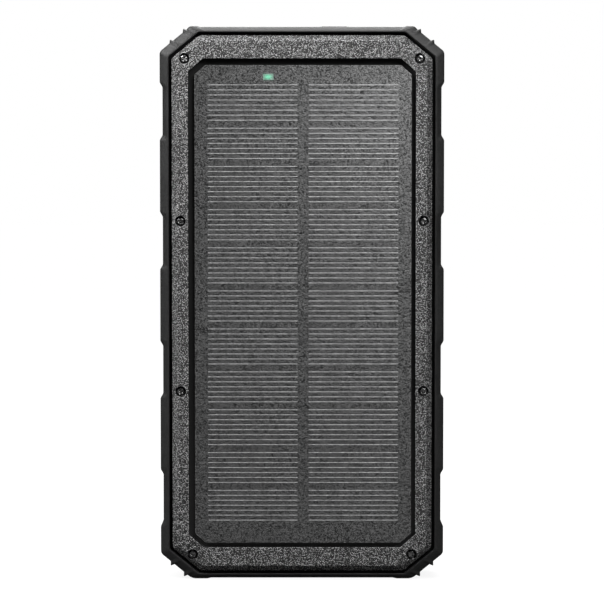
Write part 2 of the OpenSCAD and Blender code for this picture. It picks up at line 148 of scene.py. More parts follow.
def cross(arm, half_width, fillet):
    """The outline of a cross-head driver's recess, its arms slightly rounded."""
    a, w = arm, half_width
    quarter = [(w, w), (w, a), (-w, a)]
    points = []
    for k in range(4):
        c, s = round(math.cos(math.pi / 2 * k)), round(math.sin(math.pi / 2 * k))
        points += [(x * c - y * s, x * s + y * c) for x, y in quarter]
    path = []
    for i, point in enumerate(points):
        corner = np.array(point, float)
        for other in (points[i - 1], points[(i + 1) % len(points)]):
            way = np.array(other, float) - corner
            path.append(corner + way / np.linalg.norm(way) * fillet)
    return np.array(path)


def shrunk(low, high, cut, inset):
    """The corners of a cut-corner rectangle moved inward by a distance on every side."""
    cx, cz = cut
    scale = 1 + inset * (math.hypot(cx, cz) - cx - cz) / (cx * cz)
    return cut_corner_points(np.array(low) + inset, np.array(high) - inset, (cx * scale, cz * scale))


def densified(path, guide, step):
    """A closed path with each leg divided as the same leg of the guide path needs for a step length."""
    points = []
    for i in range(len(path)):
        j = (i + 1) % len(path)
        pieces = max(1, int(round(np.linalg.norm(guide[j] - guide[i]) / step)))
        points += [path[i] + (path[j] - path[i]) * k / pieces for k in range(pieces)]
    return np.array(points)


def outward_normals(points):
    """Unit normals of a closed anticlockwise path, pointing outward."""
    tangent = np.roll(points, -1, axis=0) - np.roll(points, 1, axis=0)
    tangent /= np.linalg.norm(tangent, axis=1)[:, None]
    return np.stack([tangent[:, 1], -tangent[:, 0]], axis=1)


def smoothstep(low, high, value):
    t = np.clip((value - low) / (high - low), 0, 1)
    return t * t * (3 - 2 * t)


# ---------------------------------------------------------------- meshes


def along_z(point, height):
    """Stands a flat outline in X-Y up along Z."""
    return (point[0], point[1], height)


def along_y(point, depth):
    """Lays a flat outline in X-Z along Y."""
    return (point[0], depth, point[1])


def along_x(point, reach):
    """Turns a flat outline in Y-Z out along X."""
    return (reach, point[0], point[1])


def new_mesh(name, verts, faces, smooth_angle=35):
    """A mesh object from points in millimetres, its faces turned outward and shaded smooth up to an angle."""
    mesh = bpy.data.meshes.new(name)
    mesh.from_pydata([tuple(float(c) * MM for c in v) for v in verts], [], faces)
    shape = bmesh.new()
    shape.from_mesh(mesh)
    bmesh.ops.recalc_face_normals(shape, faces=shape.faces)
    shape.to_mesh(mesh)
    shape.free()
    piece = bpy.data.objects.new(name, mesh)
    bpy.context.scene.collection.objects.link(piece)
    shade(piece, smooth_angle)
    return piece


def shade(piece, smooth_angle):
    mesh = piece.data
    mesh.polygons.foreach_set("use_smooth", [True] * len(mesh.polygons))
    mesh.set_sharp_from_angle(angle=math.radians(smooth_angle))


def loft(name, rings, smooth_angle=35):
    """A closed shape through rings of equal length, capped at both ends."""
    count = len(rings[0])
    verts = [point for ring in rings for point in ring]
    faces = [list(range(count - 1, -1, -1))]
    for r in range(len(rings) - 1):
        a, b = r * count, (r + 1) * count
        for i in range(count):
            j = (i + 1) % count
            faces.append((a + i, a + j, b + j, b + i))
    faces.append(list(range((len(rings) - 1) * count, len(rings) * count)))
    return new_mesh(name, verts, faces, smooth_angle)


def pillow(name, outline_at, levels, place=along_z):
    """A closed shape through levels of (height, inset); outline_at(inset) gives the flat outline."""
    return loft(name, [[place(p, height) for p in outline_at(inset)] for height, inset in levels])


def edge_levels(low, high, low_radius, high_radius, steps=4):
    """Heights and insets that round the lower and the upper edge of a block."""
    angles = [math.pi / 2 * k / steps for k in range(steps + 1)]
    lower = [(low + low_radius * (1 - math.sin(a)), low_radius * (1 - math.cos(a))) for a in angles]
    upper = [(high - high_radius * (1 - math.sin(a)), high_radius * (1 - math.cos(a))) for a in angles]
    if low_radius == 0:
        lower = [(low, 0.0)]
    return lower[::-1] + upper


def block(name, low, high, radius):
    """A small upright block between two corners with its edges rounded."""
    size = (high[0] - low[0], high[1] - low[1])
    centre = ((low[0] + high[0]) / 2, (low[1] + high[1]) / 2)
    corner = radius * 1.05  # a little over the edge's radius, so that no inset shrinks it to nothing

    def outline_at(inset):
        return rounded_rectangle(centre, (size[0] - 2 * inset, size[1] - 2 * inset), corner - inset, 2)

    return pillow(name, outline_at, edge_levels(low[2], high[2], radius, radius, 2))


def settle(piece):
    """Keeps the result of a piece's modifiers as its mesh."""
    bpy.context.view_layer.update()
    evaluated = piece.evaluated_get(bpy.context.evaluated_depsgraph_get())
    made = bpy.data.meshes.new_from_object(evaluated)
    piece.modifiers.clear()
    old = piece.data
    piece.data = made
    bpy.data.meshes.remove(old)


def combine(target, tool, operation, smooth_angle=35):
    """Joins tool to target or cuts it out, then removes tool."""
    modifier = target.modifiers.new("shape", "BOOLEAN")
    modifier.operation = operation
    modifier.solver = "MANIFOLD"
    modifier.object = tool
    settle(target)
    bpy.data.objects.remove(tool)
    shade(target, smooth_angle)


def gather(name, pieces, smooth_angle=35):
    """One object that holds the meshes of several, which are removed."""
    whole = bmesh.new()
    for piece in pieces:
        whole.from_mesh(piece.data)
        bpy.data.objects.remove(piece)
    mesh = bpy.data.meshes.new(name)
    whole.to_mesh(mesh)
    whole.free()
    joined = bpy.data.objects.new(name, mesh)
    bpy.context.scene.collection.objects.link(joined)
    shade(joined, smooth_angle)
    return joined


def dress(piece, finish, body, instead_of=None):
    """Gives a finished piece its material, hides the CAD node it stands in for if one is named, and a body to
    ride unless it is None.
    """
    piece.data.materials.clear()
    piece.data.materials.append(finish)
    if instead_of:
        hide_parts(instead_of)
    if body:
        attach(piece, body)


# ---------------------------------------------------------------- shader helpers


class Shader:
    """Builds one node material on object coordinates in millimetres."""

    def __init__(self, name):
        self.material = bpy.data.materials.new(name)
        self.material.use_nodes = True
        self.tree = self.material.node_tree
        self.tree.nodes.clear()
        self.output = self.add("ShaderNodeOutputMaterial")
        self.coordinates = self.add("ShaderNodeTexCoord")
        self.mm = self.vector("SCALE", self.coordinates.outputs["Object"], scale=1 / MM)

    def add(self, kind, **settings):
        node = self.tree.nodes.new(kind)
        for key, value in settings.items():
            setattr(node, key, value)
        return node

    def join(self, source, target):
        if isinstance(source, (int, float, tuple)):
            target.default_value = source
        else:
            self.tree.links.new(source, target)

    def math(self, operation, a, b=0.0, c=0.0):
        node = self.add("ShaderNodeMath", operation=operation)
        for value, socket in zip((a, b, c), node.inputs):
            self.join(value, socket)
        return node.outputs[0]

    def vector(self, operation, a, b=(0, 0, 0), scale=1.0):
        node = self.add("ShaderNodeVectorMath", operation=operation)
        self.join(a, node.inputs[0])
        self.join(b, node.inputs[1])
        if operation == "SCALE":
            self.join(scale, node.inputs["Scale"])
        return node.outputs["Value"] if operation == "DOT_PRODUCT" else node.outputs[0]

    def axis(self, letter, vector=None):
        node = self.add("ShaderNodeSeparateXYZ")
        self.join(self.mm if vector is None else vector, node.inputs[0])
        return node.outputs[letter]

    def faces_front(self):
        """1 where the surface faces the panel's side, and 0 elsewhere."""
        return self.math("LESS_THAN", self.axis("Y", self.coordinates.outputs["Normal"]), -0.5)

    def noise(self, per_mm, detail=2.0, roughness=0.5, stretch=(1, 1, 1)):
        node = self.add("ShaderNodeTexNoise")
        self.join(self.vector("MULTIPLY", self.mm, stretch), node.inputs["Vector"])
        self.join(per_mm, node.inputs["Scale"])
        self.join(detail, node.inputs["Detail"])
        self.join(roughness, node.inputs["Roughness"])
        return node.outputs["Fac"]

    def grains(self, per_mm):
        """Distance to the nearest of scattered points, and a random tone for each point's patch."""
        node = self.add("ShaderNodeTexVoronoi", feature="F1")
        self.join(self.mm, node.inputs["Vector"])
        self.join(per_mm, node.inputs["Scale"])
        return node.outputs["Distance"], self.axis("X", node.outputs["Color"])

    def remap(self, value, from_low, from_high, to_low=0.0, to_high=1.0):
        node = self.add("ShaderNodeMapRange", interpolation_type="SMOOTHSTEP")
        for item, socket in zip((value, from_low, from_high, to_low, to_high), node.inputs):
            self.join(item, socket)
        return node.outputs[0]

    def colours(self, share, first, second):
        node = self.add("ShaderNodeMix", data_type="RGBA")
        self.join(share, node.inputs["Factor"])
        self.join(first, node.inputs["A"])
        self.join(second, node.inputs["B"])
        return node.outputs["Result"]

    def edge_normal(self, radius):
        """A normal that rounds sharp edges by a radius in millimetres."""
        node = self.add("ShaderNodeBevel", samples=6)
        node.inputs["Radius"].default_value = radius * MM
        return node.outputs[0]

    def edge_share(self, rounding):
        """Near 1 on a sharp edge and 0 on flat ground, from the rounded normal."""
        flat = self.add("ShaderNodeNewGeometry").outputs["True Normal"]
        return self.remap(self.vector("DOT_PRODUCT", flat, rounding), 0.999, 0.93)

    def bump(self, height, depth, normal=None):
        """A normal for a height in 0 to 1, its full depth in millimetres."""
        node = self.add("ShaderNodeBump")
        node.inputs["Distance"].default_value = depth * MM
        self.join(height, node.inputs["Height"])
        if normal is not None:
            self.join(normal, node.inputs["Normal"])
        return node.outputs[0]

    def surface(self, colour, roughness, normal=None, **others):
        """A plain surface; others name further inputs, such as metallic or specular_ior_level."""
        node = self.add("ShaderNodeBsdfPrincipled")
        self.join(colour, node.inputs["Base Color"])
        self.join(roughness, node.inputs["Roughness"])
        if normal is not None:
            self.join(normal, node.inputs["Normal"])
        inputs = {socket.name.lower().replace(" ", "_"): socket for socket in node.inputs}
        for name, value in others.items():
            self.join(value, inputs[name])
        return node.outputs[0]

    def mixed(self, share, first, second):
        node = self.add("ShaderNodeMixShader")
        for source, socket in zip((share, first, second), node.inputs):
            self.join(source, socket)
        return node.outputs[0]

    def finish(self, surface):
        self.join(surface, self.output.inputs["Surface"])
        return self.material


def grey(value):
    return (value, value, value, 1.0)


# ---------------------------------------------------------------- materials

# Shares of the film's front that its pale haze and its shiny top cover
FILM_HAZE, FILM_SHEEN = 0.26, 0.045


def frame_plastic():
    """Coarse sandy grain on the front frame's face and slopes; its sunk and hidden sides are gloss black."""
    s = Shader("frame_plastic")
    distance, tone = s.grains(3.7)
    fine = s.noise(7.0, 3.0, 0.7)
    pebbles = s.math("SUBTRACT", 1.0, s.remap(distance, 0.15, 0.75))
    sized = s.math("MULTIPLY", pebbles, s.math("MULTIPLY_ADD", tone, 0.8, 0.2))
    height = s.math("MULTIPLY_ADD", fine, 0.5, sized)
    rounding = s.edge_normal(0.28)
    # Sharp edges lighten the grain: edge wear, and a painted highlight along the rounded edges.
    wear_and_highlight = s.edge_share(rounding)
    share = s.remap(s.math("MULTIPLY_ADD", wear_and_highlight, 0.25, height), 0.42, 0.95)
    textured = s.colours(s.math("POWER", share, 2.0), grey(0.004), grey(0.54))
    grained = s.surface(
        textured, s.remap(fine, 0.3, 0.7, 0.40, 0.55), s.bump(height, 0.10, rounding), specular_ior_level=0.5
    )
    gloss = s.surface(grey(0.017), 0.2, s.bump(s.noise(0.35), 0.02, rounding), specular_ior_level=0.3)
    slope_foot = box_mm("front_frame")[0][1] + 1.8
    shallow = s.math("LESS_THAN", s.axis("Y"), slope_foot)
    return s.finish(s.mixed(s.math("MULTIPLY", s.faces_front(), shallow), gloss, grained))


def housing_plastic():
    """Black moulded plastic with a fine spark-eroded grain; the step under the frame is painted near black as
    painted shade.
    """
    s = Shader("housing_plastic")
    grain = s.noise(3.4, 3.0, 0.65)
    mottle = s.noise(0.07, 3.0)
    share = s.math("MULTIPLY_ADD", mottle, 0.1, s.math("MULTIPLY", grain, 1.0))
    rounding = s.edge_normal(0.3)
    # Sharp edges are lightened: edge wear, and a painted highlight along the rounded edges.
    wear_and_highlight = s.math("MULTIPLY", s.edge_share(rounding), 0.35)
    colour = s.colours(s.math("ADD", s.remap(share, 0.3, 0.8), wear_and_highlight), grey(0.020), grey(0.052))
    grained = s.surface(colour, s.remap(grain, 0.3, 0.7, 0.42, 0.58), s.bump(grain, 0.06, rounding))
    # Near-black, dull surface for the front 0.2 mm: painted shade on the step under the frame.
    dark = s.surface(s.colours(grain, grey(0.002), grey(0.005)), 0.7, specular_ior_level=0.1)
    painted_shade_limit = box_mm("rear_housing")[0][1] + 0.2
    return s.finish(s.mixed(s.math("LESS_THAN", s.axis("Y"), painted_shade_limit), grained, dark))


def soft_rubber(name, tone):
    """Satin black rubber: fine pores, faint mould bloom and a little dust in the hollows."""
    s = Shader(name)
    distance, patch = s.grains(2.9)
    pores = s.math("MULTIPLY_ADD", patch, 0.5, s.math("MULTIPLY", s.noise(5.0, 2.0, 0.6), 0.6))
    clouds = s.noise(0.09, 4.0, 0.6)
    dust = s.math("MULTIPLY", s.remap(clouds, 0.45, 0.75), s.remap(distance, 0.2, 0.8))
    share = s.math("MULTIPLY_ADD", dust, 0.4, s.math("MULTIPLY", pores, 0.8))
    colour = s.colours(share, grey(tone * 0.55), grey(tone * 1.75))
    roughness = s.remap(s.math("ADD", pores, clouds), 0.6, 1.4, 0.44, 0.56)
    normal = s.bump(pores, 0.035, s.edge_normal(0.14))
    return s.finish(s.surface(colour, roughness, normal, specular_ior_level=0.27))


def silicon(name, tone, tint):
    """Dark cells or laminate, a little blue by the tint, with faint crystalline mottling under the film."""
    s = Shader(name)
    distance, patch = s.grains(0.4)
    fine = s.noise(5.5, 3.0, 0.6)
    share = s.math("MULTIPLY_ADD", patch, 0.1, s.math("MULTIPLY", fine, 0.9))
    blue = (tone * 0.8, tone * (0.8 + tint / 2), tone * (0.8 + tint), 1)
    colour = s.colours(s.remap(share, 0.2, 0.8), blue, grey(tone * 1.25))
    rough = s.remap(distance, 0.2, 0.8, 0.34, 0.46)
    return s.finish(s.surface(colour, rough, s.bump(fine, 0.02), specular_ior_level=0.1))


def silver_print():
    """Screen-printed silver paste, slightly uneven along each line."""
    s = Shader("silver_print")
    breaks = s.noise(1.1, 2.0, 0.6, stretch=(1, 1, 0.2))
    colour = s.colours(s.remap(breaks, 0.35, 0.65), grey(0.47), grey(0.78))
    rough = s.remap(breaks, 0.3, 0.7, 0.36, 0.5)
    return s.finish(s.surface(colour, rough, s.bump(breaks, 0.01), metallic=0.2))


def matt_film():
    """The clear film over the cells: see-through, its front hazy with a fine matt grain and softly shiny."""
    s = Shader("matt_film")
    patch = s.grains(3.2)[1]
    grain = s.math("MULTIPLY_ADD", patch, 0.75, s.math("MULTIPLY", s.noise(6.0, 2.0, 0.65), 0.25))
    rounding = s.edge_normal(0.14)
    # The haze is lightened along the film's edges as a painted highlight, and those edges shine a little
    # more.
    tone = s.math("MULTIPLY_ADD", s.edge_share(rounding), 0.4, s.remap(grain, 0.28, 0.68))
    normal = s.bump(grain, 0.012, rounding)
    haze = s.surface(s.colours(tone, grey(0.0), grey(0.16)), 0.5, normal, specular_ior_level=0.0)
    clear = s.add("ShaderNodeBsdfTransparent").outputs[0]
    sheen = s.add("ShaderNodeBsdfAnisotropic")
    s.join(s.remap(grain, 0.2, 0.8, 0.26, 0.36), sheen.inputs["Roughness"])
    s.join(grey(0.9), sheen.inputs["Color"])
    s.join(normal, sheen.inputs["Normal"])
    front = s.faces_front()
    hazy = s.mixed(s.math("MULTIPLY", front, FILM_HAZE), clear, haze)
    shine = s.math("MULTIPLY", front, s.remap(tone, 0.1, 0.9, FILM_SHEEN * 0.4, FILM_SHEEN * 1.6))
    return s.finish(s.mixed(shine, hazy, sheen.outputs[0]))


def charge_light():
    """The lit green charge light: mint at its core and dimmer toward its corners."""
    s = Shader("green_light")
    low, high = box_mm("charge_led")
    centre, half = (low + high) / 2, (high - low) / 2
    across = s.math("DIVIDE", s.math("SUBTRACT", s.axis("X"), float(centre[0])), float(half[0]))
    up = s.math("DIVIDE", s.math("SUBTRACT", s.axis("Z"), float(centre[2])), float(half[2]))
    radius = s.math("SQRT", s.math("ADD", s.math("POWER", across, 2.0), s.math("POWER", up, 2.0)))
    core = s.remap(s.math("MULTIPLY_ADD", s.noise(2.2), 0.4, radius), 1.35, 0.25)
    colour = s.colours(core, (0.16, 0.50, 0.33, 1), (0.15, 1.0, 0.56, 1))
    strength = s.remap(core, 0.0, 1.0, 0.75, 1.35)
    lit = {"emission_color": colour, "emission_strength": strength}
    return s.finish(s.surface(grey(0.08), 0.4, s.bump(core, 0.05), **lit))


def metal(name, tone, roughness):
    """Plated or blackened metal with faint handling marks, and edges lightened as rubbed wear and painted
    highlight.
    """
    s = Shader(name)
    marks = s.noise(1.2, 4.0, 0.6)
    fine = s.noise(5.0, 2.0)
    rounding = s.edge_normal(0.08)
    # Edges lightened in colour: rubbed wear and a painted highlight.
    share = s.math("MULTIPLY_ADD", s.edge_share(rounding), 0.5, s.remap(marks, 0.3, 0.7))
    colour = s.colours(share, grey(tone * 0.8), grey(min(1.0, tone * 1.2)))
    rough = s.remap(marks, 0.3, 0.7, roughness - 0.06, roughness + 0.08)
    return s.finish(s.surface(colour, rough, s.bump(fine, 0.003, rounding), metallic=1.0))


def tinted(name, colour, roughness, variation=0.2, grain_per_mm=2.0, depth=0.02, **others):
    """A coloured surface whose shade, sheen and relief vary with a fine grain."""
    s = Shader(name)
    grain = s.noise(grain_per_mm, 3.0, 0.55)
    dark = tuple(c * (1 - variation) for c in colour) + (1.0,)
    light = tuple(min(1.0, c * (1 + variation)) for c in colour) + (1.0,)
    varied = s.colours(s.remap(grain, 0.3, 0.7), dark, light)
    rough = s.remap(grain, 0.3, 0.7, max(0.05, roughness - 0.06), roughness + 0.06)
    return s.finish(s.surface(varied, rough, s.bump(grain, depth, s.edge_normal(0.08)), **others))


def circuit_board():
    """Green solder mask over copper tracks."""
    s = Shader("circuit_board")
    tracks = s.add("ShaderNodeTexBrick")
    turned = s.add("ShaderNodeMapping")
    s.join(s.mm, turned.inputs["Vector"])
    turned.inputs["Rotation"].default_value = (math.pi / 2, 0, 0)
    s.join(turned.outputs[0], tracks.inputs["Vector"])
    for name, value in {"Scale": 0.45, "Mortar Size": 0.06, "Brick Width": 3.4, "Row Height": 0.8}.items():
        tracks.inputs[name].default_value = value
    copper = s.math("MULTIPLY", tracks.outputs["Fac"], s.remap(s.noise(0.12), 0.45, 0.55))
    weave = s.noise(3.0, 2.0)
    mask = s.colours(s.remap(weave, 0.3, 0.7), (0.006, 0.060, 0.028, 1), (0.012, 0.090, 0.042, 1))
    colour = s.colours(copper, mask, (0.05, 0.22, 0.09, 1))
    relief = s.math("ADD", copper, s.math("MULTIPLY", weave, 0.2))
    return s.finish(s.surface(colour, 0.3, s.bump(relief, 0.03)))


def pouch_foil():
    """Silvery laminated foil, softly creased."""
    s = Shader("pouch_foil")
    creases = s.noise(0.10, 5.0, 0.6, stretch=(1, 1, 0.5))
    fine = s.noise(2.0, 2.0)
    colour = s.colours(s.remap(creases, 0.3, 0.7), (0.46, 0.48, 0.51, 1), (0.70, 0.72, 0.75, 1))
    height = s.math("MULTIPLY_ADD", fine, 0.1, creases)
    return s.finish(s.surface(colour, s.remap(fine, 0.3, 0.7, 0.3, 0.42), s.bump(height, 0.5), metallic=0.85))


def foam():
    """Open-cell grey foam."""
    s = Shader("foam_grey")
    distance, patch = s.grains(1.6)
    colour = s.colours(s.remap(distance, 0.1, 0.7), grey(0.015), grey(0.09))
    return s.finish(s.surface(colour, s.remap(patch, 0, 1, 0.8, 0.95), s.bump(distance, 0.3)))


def frosted_window():
    """Frosted clear plastic; the four level lights show through it as soft pale spots."""
    s = Shader("clear_window")
    frost = s.noise(4.0, 2.0)
    spots = 0.0
    spot_edge, spot_core = 1.1, 0.3
    for low, high in solid_boxes("level_leds"):
        offset = s.math("ABSOLUTE", s.math("SUBTRACT", s.axis("X"), float(low[0] + high[0]) / 2))
        spots = s.math("MAXIMUM", s.remap(offset, spot_edge, spot_core), spots)
    base = s.colours(s.remap(frost, 0.3, 0.7), (0.030, 0.033, 0.036, 1), (0.050, 0.053, 0.056, 1))
    colour = s.colours(s.math("MULTIPLY", spots, 0.75), base, (0.20, 0.21, 0.22, 1))
    normal = s.bump(frost, 0.02, s.edge_normal(0.2))
    return s.finish(s.surface(colour, s.remap(frost, 0.3, 0.7, 0.28, 0.4), normal, transmission_weight=0.2))


def gold_plate():
    """Gold-plated spring contacts with faint wiping marks."""
    s = Shader("gold_plate")
    wiped = s.noise(1.5, 3.0, 0.6, stretch=(4, 4, 0.4))
    colour = s.colours(s.remap(wiped, 0.3, 0.7), (0.72, 0.47, 0.16, 1), (0.95, 0.70, 0.30, 1))
    rough = s.remap(wiped, 0.3, 0.7, 0.34, 0.46)
    return s.finish(s.surface(colour, rough, s.bump(wiped, 0.004), metallic=1.0))


# ---------------------------------------------------------------- rubber sleeve

sleeve_low, sleeve_high = box_mm("bumper")
housing_low, housing_high = box_mm("rear_housing")
cover_low, cover_high = box_mm("port_cover")

FIT = 0.05  # clearance between pieces that lie against each other
HINGE_GAP = 0.4  # the slot behind the port flap, which the hinge web bridges
OUTLINE_STEP, CORNER_STEPS = 0.2, 10  # spacing of the outline's points, and steps in each of its corners
SLEEVE_CUT, SLEEVE_CORNER = (8.7, 7.1), 1.8  # the cut corner's reach across and down, and its rounding
CASE_CUT, CASE_CORNER = (8.94, 7.29), 1.5
LIP = 0.45  # how far the lip reaches over the case's widest part
LIP_SLOPE, LIP_CURVE = 1.3, 1.2  # the lip's fall towards the rim, and the power that bends it
LIP_ROUND, LIP_STEPS = 0.22, 4
RIM_INSET, BEND_INSET = 0.32, 0.09  # where the rim and the bend below it stand, in from the outer wall
BEND_DROP, WALL_DROP = 0.26, 0.75  # how far below the rim the bend and the straight wall are
# How far the corner guards rise past the straight top and bottom edges, and their middles and half widths
GUARD_TOP, GUARD_TOP_X, GUARD_TOP_HALF = 0.25, 31.2, 0.7
GUARD_BOTTOM, GUARD_BOTTOM_X, GUARD_BOTTOM_HALF = 0.25, 29.3, 1.6
GUARD_SLOPE = 1.5
NOTCH_DEPTH, NOTCH_HALF, NOTCH_SLOPE = 0.8, 6.65, 1.9
NOTCH_PITCH, NOTCH_COUNT, NOTCH_DROP = 37.3, 4, 0.4  # the row's middle is a drop below the sleeve's middle
RIB_SHARES = (0.40, 0.84)  # where the grip ribs stand along each cut corner, from the side
RIB_UPPER, RIB_LOWER = 0.72, 0.95  # heights of the ribs on the upper and the lower corners
RIB_SIDEWARD, RIB_INWARD = 0.8, 0.55  # the rib's reach before and after its crest
RIB_CREST = 1.15  # over 1, so that the crest is blunt
sleeve_top = sleeve_high[2] - GUARD_TOP
sleeve_bottom = sleeve_low[2] + GUARD_BOTTOM
notch_middle = (sleeve_top + sleeve_bottom) / 2 - NOTCH_DROP


def notch_depth_at(z):
    """How deep the grip notches are at a height, counted from the pads."""
    share = np.zeros_like(z)
    for i in range(NOTCH_COUNT):
        off = np.abs(z - (notch_middle + (i - (NOTCH_COUNT - 1) / 2) * NOTCH_PITCH))
        share = np.maximum(share, 1 - smoothstep(NOTCH_HALF, NOTCH_HALF + NOTCH_SLOPE, off))
    return share * NOTCH_DEPTH


def rise_at(x, middle, half, height):
    """The low flat rise at each end of the top and bottom edges."""
    off = np.abs(np.abs(x) - middle)
    return height * (1 - smoothstep(half, half + GUARD_SLOPE, off))


def rib_at(points, share):
    """Height of one pointed grip rib across each cut corner, the share counted from the side."""
    upper = points[:, 1] > (sleeve_top + sleeve_bottom) / 2
    mirrored = np.where(upper, points[:, 1], sleeve_top + sleeve_bottom - points[:, 1])
    start = np.array([sleeve_high[0], sleeve_top - SLEEVE_CUT[1]])
    leg = np.array([-SLEEVE_CUT[0], SLEEVE_CUT[1]])
    length = np.linalg.norm(leg)
    along = ((np.abs(points[:, 0]) - start[0]) * leg[0] + (mirrored - start[1]) * leg[1]) / length
    off = along - share * length
    reach = np.where(off < 0, RIB_SIDEWARD, RIB_INWARD)
    height = np.where(upper, RIB_UPPER, RIB_LOWER)
    on_corner = mirrored > start[1] - 1
    return height * np.clip(RIB_CREST - np.abs(off) / reach * RIB_CREST, 0, 1) * on_corner


def build_sleeve():
    """A closed ring swept round the case, with notches, corner guards, ribs and sloping inner lips; the faces
    of its inner wall take its second material, a near-black painted shade.
    """
    low, high = (sleeve_low[0], sleeve_bottom), (sleeve_high[0], sleeve_top)
    outline = rounded(cut_corner_points(low, high, SLEEVE_CUT), SLEEVE_CORNER, CORNER_STEPS)
    case_low, case_high = (housing_low[0], housing_low[2]), (housing_high[0], housing_high[2])
    base = densified(outline, outline, OUTLINE_STEP)
    normals = outward_normals(base)
    on_side = np.abs(normals[:, 0]) > 0.98
    on_top, on_bottom = normals[:, 1] > 0.7, normals[:, 1] < -0.7
    top_rise = rise_at(base[:, 0], GUARD_TOP_X, GUARD_TOP_HALF, GUARD_TOP)
    bottom_rise = rise_at(base[:, 0], GUARD_BOTTOM_X, GUARD_BOTTOM_HALF, GUARD_BOTTOM)
    relief = np.where(on_side, -notch_depth_at(base[:, 1]), 0.0)
    relief += np.where(on_top, top_rise, 0.0)
    relief += np.where(on_bottom, bottom_rise, 0.0)
    relief += sum(rib_at(base, share) for share in RIB_SHARES)
    face = sleeve_high[1]
    shoulder = -box_mm("front_frame")[1][1] + FIT
    rim = face - LIP_SLOPE

    def outer(inset):
        return base + normals * (relief - inset)[:, None]

    def within_case(inset):
        """The case's outline moved inward, with one point for each point of the outer outline."""
        corners = shrunk(case_low, case_high, CASE_CUT, inset)
        return densified(rounded(corners, CASE_CORNER - inset, CORNER_STEPS), outline, OUTLINE_STEP)

    def outer_half(sign):
        """Cross-section points from the lip's edge, down its slope and round on to the outer side."""
        lip_edge, corner = within_case(LIP - LIP_ROUND), outer(RIM_INSET)
        half = []
        for t in np.linspace(0, 1, 7):
            half.append((lip_edge * (1 - t) + corner * t, sign * (face - LIP_SLOPE * t ** LIP_CURVE)))
        half.append((outer(BEND_INSET), sign * (rim - BEND_DROP)))
        half.append((outer(0.0), sign * (rim - WALL_DROP)))
        return half

    def inner_half(sign):
        """Cross-section points round the lip's inner edge and down to the case's shoulder."""
        half = []
        for angle in np.linspace(0, math.pi / 2, LIP_STEPS + 1)[1:]:
            path = within_case(LIP - LIP_ROUND * (1 - math.sin(angle)))
            half.append((path, sign * (face - LIP_ROUND * (1 - math.cos(angle)))))
        half.append((within_case(LIP), sign * shoulder))
        half.append((within_case(-FIT), sign * shoulder))
        return half

    section = outer_half(-1)
    wall_levels = np.linspace(-rim + WALL_DROP, rim - WALL_DROP, 9)[1:-1]
    section += [(outer(0.0), float(y)) for y in wall_levels]
    section += outer_half(1)[::-1]
    # Faces between the two lips' roundings are the inner wall, marked for a near-black painted shade.
    painted_shade_start = len(section) + LIP_STEPS - 1
    section += inner_half(1)
    section += inner_half(-1)[::-1]
    painted_shade_end = len(section) - LIP_STEPS
    count, rounds = len(base), len(section)
    verts = [(p[0], y, p[1]) for points, y in section for p in points]
    faces, painted_shade_wall = [], []
    for r in range(rounds):
        a, b = r * count, ((r + 1) % rounds) * count
        for i in range(count):
            j = (i + 1) % count
            faces.append((a + i, a + j, b + j, b + i))
            painted_shade_wall.append(painted_shade_start <= r < painted_shade_end)
    sleeve = new_mesh("rubber_sleeve", verts, faces, 50)
    # The inner wall takes the second material: painted near black as painted shade in the gap round the case.
    sleeve.data.polygons.foreach_set("material_index", [int(inner) for inner in painted_shade_wall])
    return sleeve


def cut_sleeve(sleeve):
    """Cuts the ports' opening, the level window's slot and the button's slot through the sleeve."""
    above, below = 3.0, 1.0
    margin, port_corner = 0.2, 0.9
    window_slot, window_shift = (12.2, 2.2), (0, 1.0)
    button_slot = (5.0, 8.4)
    low = np.array([cover_low[0] - margin, cover_low[1] - margin])
    high = np.array([cover_high[0] + margin, cover_high[1] + HINGE_GAP])
    lens_low, lens_high = box_mm("level_lens")
    button_low, button_high = box_mm("power_button")
    top = housing_high[2]
    openings = [
        (rounded_rectangle((low + high) / 2, high - low, port_corner), along_z, top),
        (stadium(((lens_low + lens_high) / 2)[:2] + window_shift, window_slot), along_z, top),
        (stadium(((button_low + button_high) / 2)[1:], button_slot), along_x, housing_high[0]),
    ]
    for outline, place, start in openings:
        ends = (start - below, start + above)
        tool = loft("opening", [[place(p, end) for p in outline] for end in ends])
        combine(sleeve, tool, "DIFFERENCE", 50)


# ---------------------------------------------------------------- port flap


def socket_centres():
    """The [x, y] centre of each wide socket and of the narrow one, with the shell's own size."""
    places = [((low + high) / 2, high - low) for low, high in solid_boxes("usb_a_shells")]
    low, high = box_mm("usb_c_shell")
    return places, ((low + high) / 2, high - low)


